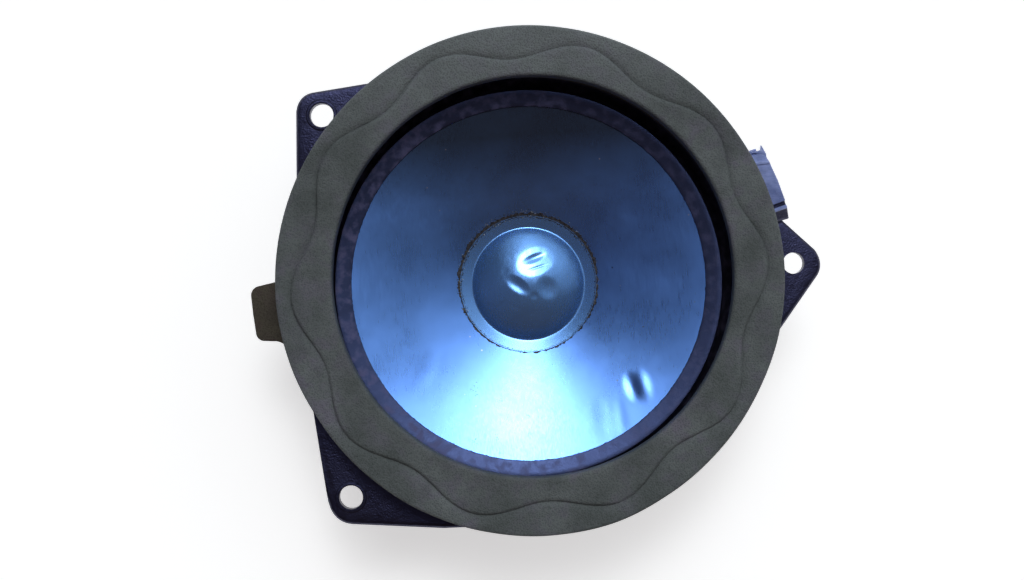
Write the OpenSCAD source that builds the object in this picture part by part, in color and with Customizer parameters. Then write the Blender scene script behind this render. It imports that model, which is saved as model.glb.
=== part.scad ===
// Door woofer for a car: a shallow cone driver in a three-eared basket with a foam front gasket.
// The part lies on its magnet. +Z is the direction of sound, +X runs through the single ear beside
// the connector, and the origin is the centre of the yoke's rear face. All lengths are in mm.

/* [Motor] */
// Radius of the yoke's back plate
yoke_r = 42; // [38:1:44]
// Thickness of the yoke's back plate
yoke_t = 5; // [4:0.5:6]
// Radius of the centre pole
pole_r = 15.4; // [15:0.1:15.6]
// Outer radius of the ring magnet
magnet_r = 45; // [42:1:46]
// Inner radius of the ring magnet
magnet_bore_r = 22; // [20:1:26]
// Thickness of the ring magnet
magnet_t = 13; // [12:0.5:14]
// Radius of the top plate
top_plate_r = 41; // [38:0.5:42]
// Thickness of the top plate
top_plate_t = 5; // [4.5:0.5:5.5]
// Radius of the bore that forms the outside of the magnetic gap
gap_r = 17.7; // [17.5:0.1:18.5]

/* [Voice coil] */
// Inner radius of the coil former
former_r = 16; // [15.8:0.1:16.1]
// Wall of the coil former
former_t = 0.3; // [0.2:0.05:0.35]
// Radial thickness of the winding
winding_t = 0.8; // [0.5:0.1:0.9]
// Height of the winding
winding_h = 11; // [8:0.5:12]

/* [Cone] */
// Radius where the surround's inner edge lies on the cone
cone_r = 58.3; // [57:0.1:58.5]
// Height that the cone's front surface would reach at the roll
cone_rim_z = 48.65; // [48:0.05:48.65]
// Height of the cone's front surface at the neck
cone_neck_z = 35.2; // [34.8:0.1:36]
// How much steeper the cone is at its neck than on average
cone_bow = 0.06; // [0:0.01:0.08]
// Thickness of the cone
cone_t = 0.6; // [0.4:0.1:0.8]
// Radius of the dust cap's dome
cap_r = 19.2; // [18.5:0.1:20]
// Height of the dust cap's dome above its own edge
cap_h = 6.4; // [5:0.1:8]
// Outer radius of the dust cap's glued flange
cap_flange_r = 22.8; // [21.5:0.1:24]

/* [Suspension] */
// Mean radius of the roll's cross-section
roll_r = 4.6; // [4:0.1:4.8]
// Radius of the circle that the roll is centred on
roll_centre_r = 68; // [67.8:0.1:68.2]
// Thickness of the surround's rubber
surround_t = 0.8; // [0.6:0.1:0.8]
// Thickness of the spider's cloth
spider_t = 0.7; // [0.5:0.1:0.8]
// Half height of the spider's waves
spider_wave = 1.1; // [0.6:0.1:1.4]
// Number of waves in the spider
spider_waves = 4; // [3:1:5]

/* [Basket] */
// Outer radius of the basket's rim
rim_r = 79.5; // [79:0.1:80]
// Height of the rim's front edge
rim_z = 49.5; // [49.5:0.1:50]
// Thickness of the basket's sloped wall
wall_t = 2.5; // [2:0.1:3]
// Number of spokes and of windows between them
spoke_count = 6; // [4:1:8]
// Angle that each window takes
window_angle = 43; // [30:1:44]

/* [Mounting ears] */
// Thickness of each ear
ear_t = 4; // [3:0.5:4.5]
// Distance of the single ear's hole from the axis
single_hole_x = 87.2; // [86.5:0.1:88]
// Radius of the single ear's hole
single_hole_r = 3.5; // [2.5:0.1:3.7]
// X of the two paired holes
pair_hole_x = -63.5; // [-65:0.1:-62]
// Y of the upper paired hole
upper_hole_y = 60.3; // [59:0.1:61]
// Y of the lower paired hole
lower_hole_y = -65.5; // [-67:0.1:-64.5]
// Radius of the two paired holes
pair_hole_r = 3.9; // [2.5:0.1:4.2]

/* [Gasket] */
// Outer radius of the front foam ring
foam_r = 81.6; // [80:0.1:83]
// Radius of the front foam ring's hole
foam_hole_r = 64.5; // [64:0.1:66]
// Thickness of the front foam ring
foam_front_t = 8; // [6:0.5:10]
// Thickness of the foam ring under it
foam_base_t = 5.8; // [5.4:0.1:8]
// How far the front ring is laid off the axis, in X and Y
foam_shift = [0.2, 0.9]; // [-1:0.1:1]
// How far its hole is cut off the axis, in X and Y
foam_hole_shift = [1.4, 2.1]; // [-1:0.1:2.2]

/* [Connector] */
// Direction that the socket faces, counted from +X
socket_angle = 15.6; // [10:0.1:20]
// How far the socket lies to the side of that direction
socket_offset = 3.8; // [3:0.1:4.5]
// Distance of the socket's mouth from the axis
socket_face = 87.3; // [86:0.1:89]
// Width of the socket's housing
socket_w = 25.2; // [24:0.1:26]
// Distance between the two blades
blade_pitch = 10; // [9:0.5:11]

/* [Hidden] */

$fn = 96;
hull_fn = 32;
eps = 0.1;

// Motor stack, from the rear face up
magnet_z = yoke_t;
top_plate_z = magnet_z + magnet_t;
seat_z = top_plate_z + top_plate_t;
pole_z = seat_z + 0.5;
edge_chamfer = 1.2;

// Basket
seat_t = 3;
seat_bore_r = 24;
ledge_r = 37;
ledge_z = seat_z + 7.5;
cup_r = 46.5;
cup_lip_r = 44.5;
cup_lip_z = ledge_z + 1.5;
wall_rise = 11 / 30;
wall_in_z = seat_z + 6.16;
wall_out_r = rim_r - 3;
lip_seat_z = rim_z - surround_t;
lip_seat_r = roll_centre_r + roll_r + 0.9;
lip_edge_r = 77.2;
ring_under_z = rim_z - 5.5;
window_in_r = cup_r + 1.5;
window_out_r = 71;
spoke_step = 360 / spoke_count;
first_spoke = 18;
rib_t = 2.4;
ear_z = rim_z - ear_t;

// Motor screws
screw_count = 4;
screw_circle_r = 32;
screw_r = 2;
screw_gap = 0.05;
screw_head_r = 3.6;
screw_head_h = 2.2;
screw_length = 6.5;
recess_r = 1.5;
recess_depth = 1.3;

// Voice coil, centred on the top plate
coil_z = top_plate_z + top_plate_t / 2 - winding_h / 2;
former_out_r = former_r + former_t;
former_top_z = cone_neck_z + 2.2;
wrap_t = 0.2;
wrap_z = coil_z + winding_h + 0.8;
wrap_h = 5;

// Cone
collar_t = 0.6;
collar_h = 1.6;
neck_r = former_out_r + collar_t;
cone_rim_r = cone_r + 3.2;
cone_steps = 10;
glue_gap = 0.05;
roll_in_r = roll_centre_r - roll_r;
cone_rise = (cone_rim_z - cone_neck_z) / (roll_in_r - neck_r);
cap_t = 0.4;
cap_curve_r = (cap_r * cap_r + cap_h * cap_h) / (2 * cap_h);

// Suspension
roll_z = lip_seat_z + surround_t / 2;
surround_lip_r = 77;
spider_in_r = former_out_r + wrap_t + 0.15;
spider_flat_r = 19;
spider_wave_end_r = ledge_r - 0.5;
spider_out_r = 44.2;
spider_steps = 10;

// Gasket
adhesive_t = 0.2;
foam_base_z = rim_z + adhesive_t;
foam_front_z = foam_base_z + foam_base_t;
foam_base_r = 81.2;
foam_base_hole_r = 67.5;
tab_t = 4;

// Connector, in the socket's own directions: x outwards, y across, z up
housing_in_x = 71;
housing_step_x = rim_r + 0.1;
housing_z = 32;
housing_in_h = 11.8;
housing_out_h = 15.5;
cavity_x = 75;
cavity_w = 20.8;
cavity_z = 34.3;
cavity_h = 10;
fit_gap = 0.1;
blade_t = 0.8;
blade_z = 36.4;
blade_positive_w = 6.3;
blade_negative_w = 4.8;
blade_tip_x = 84;
tag_in_x = 67.5;
tag_z = 38.6;
tag_root = 0.5;
tag_w = 1.8;
solder_r = 1.4;
solder_h = 1;
solder_x = 69;

// Tinsel leads, in the socket's direction but from the axis: x outwards, y across, z up
lead_r = 0.45;
lead_sides = 8;
pad_t = 0.5;
pad_z = 32.5;
pad_h = 1;
pad_w = 2.4;
pad_positive_angle = 22;
pad_negative_angle = -6;
lead_positive_route = [
    [15.8, 6.4, 33], [20, 7.2, 33.6], [25, 7.5, 34.8], [32, 7.8, 36.2], [38, 8, 36.8],
    [44, 8.2, 37.3], [50, 8.4, 38], [56, 8.6, 38.8], [61, 8.7, 39.3], [65, 8.8, 39.5],
    [67.5, 8.8, 39.5]
];
lead_negative_route = [
    [16.9, -1.8, 33], [21, -1.8, 33.6], [26, -1.7, 34.9], [32, -1.6, 36.1], [38, -1.5, 36.7],
    [44, -1.4, 37.2], [50, -1.3, 38], [56, -1.3, 38.8], [61, -1.2, 39.3], [65, -1.2, 39.5],
    [67.5, -1.2, 39.5]
];

// Height of the cone's front surface at a radius
function cone_z(r) =
    cone_neck_z + (r - neck_r) * (cone_rise + cone_bow * (roll_in_r - r) / (roll_in_r - neck_r));

// Height of the middle of the spider's cloth at a radius
function spider_mid(r) =
    ledge_z + spider_t / 2 + spider_wave * sin((r - spider_flat_r) / (spider_wave_end_r - spider_flat_r)
    * 360 * spider_waves);

// Height of the top of the basket's sloped wall at a radius
function wall_z(r) = wall_in_z + (r - cup_r) * wall_rise;

// A ring with a rectangular section
module ring(r_out, r_in, h) {
    difference() {
        cylinder(h = h, r = r_out);
        translate([0, 0, -eps]) cylinder(h = h + 2 * eps, r = r_in);
    }
}

// A disc with chamfered edges
module chamfered_disc(r, h, chamfer) {
    rotate_extrude()
        polygon([
            [0, 0], [r - chamfer, 0], [r, chamfer], [r, h - chamfer], [r - chamfer, h], [0, h]
        ]);
}

// Back plate and centre pole, forged in one piece
module yoke() {
    color("silver") union() {
        chamfered_disc(yoke_r, yoke_t, edge_chamfer);
        cylinder(h = pole_z, r = pole_r);
    }
}

module magnet() {
    color("dimgray") translate([0, 0, magnet_z]) difference() {
        chamfered_disc(magnet_r, magnet_t, edge_chamfer);
        translate([0, 0, -eps]) cylinder(h = magnet_t + 2 * eps, r = magnet_bore_r);
    }
}

// Places its children at each motor screw
module at_screws() {
    for (i = [0 : screw_count - 1])
        rotate([0, 0, first_spoke + 45 + i * 360 / screw_count])
            translate([screw_circle_r, 0, 0])
                children();
}

module top_plate() {
    color("silver") difference() {
        translate([0, 0, top_plate_z]) ring(top_plate_r, gap_r, top_plate_t);
        at_screws() translate([0, 0, top_plate_z - eps])
            cylinder(h = top_plate_t + 2 * eps, r = screw_r + screw_gap);
    }
}

module motor_screws() {
    color("gainsboro") at_screws() difference() {
        union() {
            translate([0, 0, seat_z + seat_t - screw_length]) cylinder(h = screw_length, r = screw_r);
            translate([0, 0, seat_z + seat_t]) cylinder(h = screw_head_h, r = screw_head_r);
        }
        translate([0, 0, seat_z + seat_t + screw_head_h - recess_depth])
            cylinder(h = recess_depth + eps, r = recess_r, $fn = 6);
    }
}

// Outline of the ear with the single hole
module single_ear_outline() {
    hull() {
        translate([89.8, -0.8]) circle(r = 6.4, $fn = hull_fn);
        translate([81, 17]) circle(r = 1, $fn = hull_fn);
        translate([77.4, -24.6]) circle(r = 1, $fn = hull_fn);
    }
}

// Outline of the ear with the upper paired hole
module upper_ear_outline() {
    hull() {
        translate([-64.7, 60.6]) circle(r = 7.3, $fn = hull_fn);
        translate([-72.8, 36]) circle(r = 1, $fn = hull_fn);
        translate([-40, 69.4]) circle(r = 1, $fn = hull_fn);
    }
}

// Outline of the ear with the lower paired hole
module lower_ear_outline() {
    hull() {
        translate([-62, -65.3]) circle(r = 9.2, $fn = hull_fn);
        translate([-73.4, -28]) circle(r = 1, $fn = hull_fn);
        translate([-34, -77.1]) circle(r = 1, $fn = hull_fn);
        translate([-20, -77.6]) circle(r = 1, $fn = hull_fn);
    }
}

// The three ears, outside the rim
module ears() {
    translate([0, 0, ear_z]) linear_extrude(height = ear_t) difference() {
        union() {
            single_ear_outline();
            upper_ear_outline();
            lower_ear_outline();
        }
        circle(r = rim_r - 1.5);
    }
}

// Seat, cup, sloped wall and rim in one turned section
module basket_shell() {
    rotate_extrude()
        polygon([
            [seat_bore_r, seat_z], [cup_r, seat_z], [cup_r, wall_z(cup_r) - wall_t],
            [wall_out_r, wall_z(wall_out_r) - wall_t], [rim_r, wall_z(rim_r)],
            [rim_r, rim_z], [lip_edge_r, rim_z], [lip_edge_r, lip_seat_z],
            [lip_seat_r, lip_seat_z], [lip_seat_r, ring_under_z], [wall_out_r, ring_under_z],
            [wall_out_r, wall_z(wall_out_r)], [cup_r, wall_z(cup_r)],
            [cup_r, cup_lip_z], [cup_lip_r, cup_lip_z], [cup_lip_r, ledge_z],
            [ledge_r, ledge_z], [ledge_r, seat_z + seat_t], [seat_bore_r, seat_z + seat_t]
        ]);
}

// Stiffening rib under each spoke
module spoke_ribs() {
    for (i = [0 : spoke_count - 1])
        rotate([0, 0, first_spoke + i * spoke_step])
            translate([0, rib_t / 2, 0])
                rotate([90, 0, 0])
                    linear_extrude(height = rib_t)
                        polygon([
                            [cup_r - 1, seat_z + 1], [cup_r + 2, seat_z],
                            [wall_out_r + 1, wall_z(wall_out_r) - wall_t - 2],
                            [wall_out_r + 1, wall_z(wall_out_r) - 1],
                            [cup_r - 1, wall_z(cup_r) - 1]
                        ]);
}

// Windows between the spokes
module windows() {
    for (i = [0 : spoke_count - 1])
        rotate([0, 0, first_spoke + (i + 0.5) * spoke_step - window_angle / 2])
            rotate_extrude(angle = window_angle)
                translate([window_in_r, seat_z - eps])
                    square([window_out_r - window_in_r, ring_under_z - seat_z - 2]);
}

// Places its children in the socket's own directions
module at_socket() {
    rotate([0, 0, socket_angle]) translate([0, socket_offset, 0]) children();
}

// Room that the connector housing takes in the basket
module socket_room() {
    at_socket() {
        translate([housing_in_x - fit_gap, -socket_w / 2 - fit_gap, housing_z - 2])
            cube([rim_r, socket_w + 2 * fit_gap, housing_in_h + 2 + fit_gap]);
        translate([housing_step_x - fit_gap, -socket_w / 2 - fit_gap, housing_z])
            cube([rim_r, socket_w + 2 * fit_gap, rim_z]);
    }
}

// The three mounting holes
module ear_holes() {
    translate([single_hole_x, 0, ear_z - eps]) cylinder(h = ear_t + 2 * eps, r = single_hole_r);
    for (y = [lower_hole_y, upper_hole_y])
        translate([pair_hole_x, y, ear_z - eps]) cylinder(h = ear_t + 2 * eps, r = pair_hole_r);
}

module basket() {
    color("#1b1a26") difference() {
        union() {
            basket_shell();
            spoke_ribs();
            ears();
        }
        windows();
        socket_room();
        ear_holes();
        at_screws() translate([0, 0, seat_z - eps])
            cylinder(h = seat_t + 2 * eps, r = screw_r + screw_gap);
    }
}

// Double-sided tape that holds the gasket on the rim
module gasket_adhesive() {
    color("#2b2b2b") translate([0, 0, rim_z]) ring(rim_r - 0.5, lip_seat_r, adhesive_t);
}

// Pull tab on the lower foam ring
module tab_outline() {
    hull() {
        translate([-87.2, 1.9]) circle(r = 3.1, $fn = hull_fn);
        translate([-86.2, -9.7]) circle(r = 4.1, $fn = hull_fn);
        translate([-76, 8.6]) circle(r = 1, $fn = hull_fn);
        translate([-76, -12.8]) circle(r = 1, $fn = hull_fn);
    }
}

module gasket_base() {
    color("#45463c") translate([0, 0, foam_base_z]) difference() {
        union() {
            cylinder(h = foam_base_t, r = foam_base_r);
            linear_extrude(height = tab_t) tab_outline();
        }
        translate([0, 0, -eps]) cylinder(h = foam_base_t + 2 * eps, r = foam_base_hole_r);
    }
}

module gasket_front() {
    color("#474d4b") translate([0, 0, foam_front_z]) difference() {
        translate(foam_shift) cylinder(h = foam_front_t, r = foam_r);
        translate([foam_hole_shift[0], foam_hole_shift[1], -eps])
            cylinder(h = foam_front_t + 2 * eps, r = foam_hole_r);
    }
}

// Inner band that lies on the cone's slope, hanging roll and outer lip, moulded in one piece
module surround() {
    roll_wall_r = roll_in_r + surround_t / 2;
    band = [for (r = [cone_r, cone_rim_r]) [r, cone_z(r) + glue_gap]];
    color("#23212e") rotate_extrude() union() {
        polygon([
            band[0], band[1], [roll_in_r, lip_seat_z], [roll_wall_r, lip_seat_z], [roll_wall_r, rim_z],
            [roll_in_r, rim_z], band[1] + [0, surround_t], band[0] + [0, surround_t]
        ]);
        translate([roll_centre_r + roll_r - surround_t / 2, lip_seat_z])
            square([surround_lip_r - roll_centre_r - roll_r + surround_t / 2, surround_t]);
        difference() {
            translate([roll_centre_r, roll_z]) circle(r = roll_r + surround_t / 2);
            translate([roll_centre_r, roll_z]) circle(r = roll_r - surround_t / 2);
            translate([roll_centre_r - 2 * roll_r, roll_z]) square([4 * roll_r, 2 * roll_r]);
        }
    }
}

// Corrugated cloth disc that centres the coil
module spider() {
    steps = spider_waves * spider_steps;
    radii = [for (i = [0 : steps]) spider_flat_r + i * (spider_wave_end_r - spider_flat_r) / steps];
    top = [for (r = radii) [r, spider_mid(r) + spider_t / 2]];
    under = [for (i = [steps : -1 : 0]) [radii[i], spider_mid(radii[i]) - spider_t / 2]];
    color("#b8903c") rotate_extrude()
        polygon(concat(
            [[spider_in_r, ledge_z], [spider_in_r, ledge_z + spider_t]], top,
            [[spider_out_r, ledge_z + spider_t], [spider_out_r, ledge_z]], under
        ));
}

module connector_housing() {
    color("#8f9cc4") at_socket() difference() {
        union() {
            translate([housing_in_x, -socket_w / 2, housing_z])
                cube([housing_step_x - housing_in_x + 1, socket_w, housing_in_h]);
            translate([housing_step_x, -socket_w / 2, housing_z])
                cube([socket_face - housing_step_x, socket_w, housing_out_h]);
        }
        translate([cavity_x, -cavity_w / 2, cavity_z])
            cube([socket_face, cavity_w, cavity_h]);
        blade(blade_pitch / 2, blade_positive_w);
        blade(-blade_pitch / 2, blade_negative_w);
    }
}

// One contact blade with its solder tag, at y across the socket
module blade(y, w) {
    translate([housing_in_x, y - blade_t / 2, blade_z])
        cube([blade_tip_x - housing_in_x, blade_t, w]);
    translate([tag_in_x, y - tag_w / 2, tag_z])
        cube([housing_in_x - tag_in_x + tag_root, tag_w, tag_w]);
}

module terminal_positive() {
    color("gold") at_socket() blade(blade_pitch / 2, blade_positive_w);
}

module terminal_negative() {
    color("gold") at_socket() blade(-blade_pitch / 2, blade_negative_w);
}

module terminal_solder() {
    color("lightgray") at_socket()
        for (side = [-1, 1])
            translate([solder_x, side * blade_pitch / 2, tag_z + tag_w])
                cylinder(h = solder_h, r1 = solder_r, r2 = solder_r / 2);
}

// Direction of a route at its point i, along the chord between its neighbours
function heading(route, i) =
    let (step = route[min(i + 1, len(route) - 1)] - route[max(i - 1, 0)]) step / norm(step);

// Ring of points around a route's point i
function ring_points(route, i) =
    let (
        ahead = heading(route, i),
        side = cross([0, 0, 1], ahead) / norm(cross([0, 0, 1], ahead)),
        up = cross(ahead, side)
    )
    [for (k = [0 : lead_sides - 1])
        route[i] + lead_r * (cos(k * 360 / lead_sides) * side + sin(k * 360 / lead_sides) * up)];

// A tube swept along a route
module lead_tube(route) {
    last = len(route) - 1;
    points = [for (i = [0 : last]) each ring_points(route, i)];
    walls = [for (i = [0 : last - 1], k = [0 : lead_sides - 1])
        let (a = i * lead_sides, b = (k + 1) % lead_sides)
        [a + k, a + lead_sides + k, a + lead_sides + b, a + b]];
    near_end = [for (k = [0 : lead_sides - 1]) k];
    far_end = [for (k = [lead_sides - 1 : -1 : 0]) last * lead_sides + k];
    polyhedron(points = points, faces = concat(walls, [near_end], [far_end]), convexity = 4);
}

module tinsel_lead_positive() {
    color("#c7a46a") rotate([0, 0, socket_angle]) lead_tube(lead_positive_route);
}

module tinsel_lead_negative() {
    color("#c7a46a") rotate([0, 0, socket_angle]) lead_tube(lead_negative_route);
}

// Shallow cone with a neck collar, a little flatter at its rim than at its neck
module cone() {
    radii = [for (i = [0 : cone_steps]) neck_r + i * (cone_rim_r - neck_r) / cone_steps];
    front = [for (r = radii) [r, cone_z(r)]];
    back = [for (i = [cone_steps : -1 : 0]) [radii[i], cone_z(radii[i]) - cone_t]];
    color("#2f4a80") rotate_extrude()
        polygon(concat(
            [[former_out_r, cone_neck_z]], front, back,
            [[neck_r, cone_neck_z - collar_h], [former_out_r, cone_neck_z - collar_h]]
        ));
}

// Dome and glued flange in one piece
module dust_cap() {
    cap_z = cone_z(cap_r);
    color("#3d62b0") rotate_extrude() union() {
        difference() {
            translate([0, cap_z + cap_h - cap_curve_r]) circle(r = cap_curve_r);
            translate([0, cap_z + cap_h - cap_curve_r]) circle(r = cap_curve_r - cap_t);
            translate([-2 * cap_curve_r, cap_z - 4 * cap_curve_r + cap_t / 2])
                square([4 * cap_curve_r, 4 * cap_curve_r]);
            translate([-2 * cap_curve_r, cap_z - cap_curve_r])
                square([2 * cap_curve_r, 4 * cap_curve_r]);
        }
        polygon([
            [cap_r - cap_t, cone_z(cap_r - cap_t)], [cap_flange_r, cone_z(cap_flange_r)],
            [cap_flange_r, cone_z(cap_flange_r) + cap_t], [cap_r - cap_t, cone_z(cap_r) + cap_t]
        ]);
    }
}

// Bead of glue around the dust cap's flange
module dust_cap_glue() {
    bead = 0.7;
    color("#1c2338") rotate_extrude()
        polygon([
            [cap_flange_r, cone_z(cap_flange_r)],
            [cap_flange_r + bead, cone_z(cap_flange_r + bead)],
            [cap_flange_r + bead / 2, cone_z(cap_flange_r) + cap_t],
            [cap_flange_r, cone_z(cap_flange_r) + cap_t]
        ]);
}

// Fillet of glue between the former and the cone's neck
module neck_glue() {
    color("#3a2f22") rotate_extrude()
        polygon([
            [former_out_r, cone_neck_z], [neck_r, cone_neck_z], [neck_r + 0.8, cone_z(neck_r + 0.8)],
            [former_out_r, cone_neck_z + 1.2]
        ]);
}

module voice_coil_former() {
    color("#c9ccd2") translate([0, 0, coil_z - 0.5])
        ring(former_out_r, former_r, former_top_z - coil_z + 0.5);
}

// Paper collar that holds the winding's two ends down on the former
module former_wrap() {
    color("#8c6a3f") translate([0, 0, wrap_z]) ring(former_out_r + wrap_t, former_out_r, wrap_h);
}

module voice_coil_winding() {
    color("#b0622c") translate([0, 0, coil_z])
        ring(former_out_r + winding_t, former_out_r, winding_h);
}

// Two pads on the former where the leads are soldered
module lead_pads() {
    color("#c58a4b") rotate([0, 0, socket_angle])
        for (angle = [pad_positive_angle, pad_negative_angle])
            rotate([0, 0, angle])
                translate([former_out_r, -pad_w / 2, pad_z])
                    cube([pad_t, pad_w, pad_h]);
}

yoke();
magnet();
top_plate();
basket();
motor_screws();
gasket_adhesive();
gasket_base();
gasket_front();
surround();
spider();
connector_housing();
terminal_positive();
terminal_negative();
terminal_solder();
tinsel_lead_positive();
tinsel_lead_negative();
cone();
dust_cap();
dust_cap_glue();
neck_glue();
voice_coil_former();
former_wrap();
voice_coil_winding();
lead_pads();
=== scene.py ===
import math
import random

import bmesh
import bpy
from mathutils import Matrix, Vector, noise


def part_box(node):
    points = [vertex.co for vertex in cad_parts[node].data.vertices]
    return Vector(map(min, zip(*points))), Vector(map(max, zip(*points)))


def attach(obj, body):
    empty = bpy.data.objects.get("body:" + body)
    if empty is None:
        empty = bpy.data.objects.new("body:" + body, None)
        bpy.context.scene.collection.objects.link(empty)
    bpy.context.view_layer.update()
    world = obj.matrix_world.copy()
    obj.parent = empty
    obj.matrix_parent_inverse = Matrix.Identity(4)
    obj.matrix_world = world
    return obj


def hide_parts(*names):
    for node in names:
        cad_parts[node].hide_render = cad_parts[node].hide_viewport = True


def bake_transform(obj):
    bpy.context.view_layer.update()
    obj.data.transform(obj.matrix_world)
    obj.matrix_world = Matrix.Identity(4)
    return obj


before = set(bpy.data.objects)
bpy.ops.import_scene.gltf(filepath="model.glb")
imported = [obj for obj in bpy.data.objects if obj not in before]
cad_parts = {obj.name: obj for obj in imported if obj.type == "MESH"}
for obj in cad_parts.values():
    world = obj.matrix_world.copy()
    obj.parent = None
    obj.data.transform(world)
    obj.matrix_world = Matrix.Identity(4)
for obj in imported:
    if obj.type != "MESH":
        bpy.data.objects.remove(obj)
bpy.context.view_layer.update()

# Lengths are in metres, in the frame of the CAD model: +Z is the direction of sound, +X runs through
# the single ear and the origin is the centre of the yoke's rear face.
MM = 0.001
TURN = 2 * math.pi
RANDOM_SEED = 7

# Places that come from the CAD nodes
CONE_LOW, CONE_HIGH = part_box("cone")
CAP_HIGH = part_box("dust_cap")[1]
FRONT_LOW, FRONT_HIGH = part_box("gasket_front")
BASE_LOW, BASE_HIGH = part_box("gasket_base")
ROLL_LOW, ROLL_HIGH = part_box("surround")
SPIDER_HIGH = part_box("spider")[1]
BASKET_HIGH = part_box("basket")[1]
FORMER_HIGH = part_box("voice_coil_former")[1]

# Cone: its section is a little flatter at the rim than at the neck
NECK_R = 16.9 * MM
FORMER_R = FORMER_HIGH.x
COLLAR_H = 1.6 * MM
NECK_Z = CONE_LOW.z + COLLAR_H
CONE_RIM_R = CONE_HIGH.x
CONE_T = 0.6 * MM
ROLL_IN_R = 63.4 * MM
CONE_AT_ROLL_Z = 48.65 * MM
CONE_BOW = 0.06
CONE_RISE = (CONE_AT_ROLL_Z - NECK_Z) / (ROLL_IN_R - NECK_R)

# Dust cap
CAP_R = 19.2 * MM
CAP_H = 6.4 * MM
CAP_T = 0.4 * MM
FLANGE_R = CAP_HIGH.x
CAP_CURVE_R = (CAP_R ** 2 + CAP_H ** 2) / (2 * CAP_H)

# Surround
BAND_R = -ROLL_LOW.x - 18.7 * MM
SURROUND_T = 0.8 * MM
ROLL_CENTRE_R = 68.0 * MM
ROLL_R = 4.6 * MM
LIP_R = ROLL_HIGH.x

# Spider
SPIDER_IN_R = 16.65 * MM
SPIDER_FLAT_R = 19.0 * MM
SPIDER_WAVE_END_R = 36.5 * MM
SPIDER_OUT_R = SPIDER_HIGH.x
SPIDER_T = 0.7 * MM
SPIDER_WAVE = 1.1 * MM
SPIDER_WAVES = 4
SPIDER_Z = 30.5 * MM

# Foam rings
FOAM_R = (FRONT_HIGH.x - FRONT_LOW.x) / 2
FOAM_CENTRE = (FRONT_LOW + FRONT_HIGH) / 2
FOAM_HOLE_R = 64.5 * MM
FOAM_HOLE_CENTRE = Vector((1.4 * MM, 2.1 * MM, 0))
SLIT_R = 74.0 * MM
SLIT_SWING = 2.9 * MM
SLIT_LOBES = 10
BASE_R = BASE_HIGH.x
BASE_HOLE_R = 67.5 * MM
TAB_T = 4 * MM

# Socket: x outwards, y across, z up in its own directions
SOCKET_ANGLE = math.radians(15.6)
SOCKET_OFFSET = 3.8 * MM
SOCKET_FACE = 87.3 * MM
SOCKET_TURN = Matrix.Rotation(SOCKET_ANGLE, 4, "Z") @ Matrix.Translation((0, SOCKET_OFFSET, 0))


# ---------------- shapes

def smoothstep(low, high, value):
    """0 below low, 1 above high, and a smooth turn between them."""
    t = min(max((value - low) / (high - low), 0), 1)
    return t * t * (3 - 2 * t)


def cone_z(r):
    """Height of the cone's front surface at a radius."""
    return NECK_Z + (r - NECK_R) * (CONE_RISE + CONE_BOW * (ROLL_IN_R - r) / (ROLL_IN_R - NECK_R))


def in_oval(x, y, centre, half_length, half_width, angle):
    """A point along and across an oval, as shares of its half length and half width."""
    dx, dy = x - centre[0] * MM, y - centre[1] * MM
    c, s = math.cos(math.radians(angle)), math.sin(math.radians(angle))
    return (dx * c + dy * s) / (half_length * MM), (-dx * s + dy * c) / (half_width * MM)


def oval(x, y, *dent):
    """How far in an oval dent a point lies: 1 at its middle, 0 at its edge and beyond it."""
    along, across = in_oval(x, y, *dent)
    away = along * along + across * across
    return (1 - away) ** 2 if away < 1 else 0


def dents_at(dents, x, y):
    """Height that a list of (centre, half_length, half_width, angle, height) in mm adds at a point."""
    return sum(height * MM * oval(x, y, *dent) for *dent, height in dents)


def ripple(x, y, size, height, offset=0.0):
    """Soft unevenness of about that size."""
    return height * noise.noise(Vector((x / size, y / size, offset)))


def filleted(points, radius, steps):
    """A closed outline with its corners rounded."""
    out = []
    for i, point in enumerate(points):
        here = Vector(point)
        before = Vector(points[i - 1]) - here
        after = Vector(points[(i + 1) % len(points)]) - here
        reach = min(radius, before.length * 0.49, after.length * 0.49)
        start = here + before.normalized() * reach
        end = here + after.normalized() * reach
        for k in range(steps + 1):
            t = k / steps
            out.append(tuple((1 - t) ** 2 * start + 2 * t * (1 - t) * here + t * t * end))
    return out


def finish_mesh(bm, name, materials, sharp=35, pick=None):
    """Turns a bmesh into an object with smooth faces and sharp edges past an angle."""
    bmesh.ops.remove_doubles(bm, verts=bm.verts, dist=0.001 * MM)
    bmesh.ops.recalc_face_normals(bm, faces=bm.faces)
    if pick:
        for face in bm.faces:
            face.material_index = pick(face)
    mesh = bpy.data.meshes.new(name)
    bm.to_mesh(mesh)
    bm.free()
    for material in materials:
        mesh.materials.append(material)
    mesh.shade_smooth()
    mesh.set_sharp_from_angle(angle=math.radians(sharp))
    piece = bpy.data.objects.new(name, mesh)
    bpy.context.scene.collection.objects.link(piece)
    return piece


def ring_faces(bm, rows, closed=True):
    """Joins rows of vertices, one row for each angle, into faces."""
    count = len(rows)
    for i in range(count if closed else count - 1):
        here, there = rows[i], rows[(i + 1) % count]
        for k in range(len(here)):
            n = (k + 1) % len(here)
            bm.faces.new((here[k], there[k], there[n], here[n]))


def swept_ring(bm, section, steps, centre=(0, 0), shape=None):
    """A ring around Z whose closed section, a list of (radius, height), may change with the angle."""
    rows = []
    for i in range(steps):
        angle = TURN * i / steps
        c, s = math.cos(angle), math.sin(angle)
        row = []
        for r, z in section(angle):
            x, y = centre[0] + r * c, centre[1] + r * s
            row.append(bm.verts.new((x, y, z + (shape(x, y, z) if shape else 0))))
        rows.append(row)
    ring_faces(bm, rows)


def arc_points(centre, radius, start, end, steps):
    """Points on an arc, with its angles in degrees."""
    angles = [math.radians(start + (end - start) * k / steps) for k in range(steps + 1)]
    return [(centre[0] + radius * math.cos(a), centre[1] + radius * math.sin(a)) for a in angles]


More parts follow.
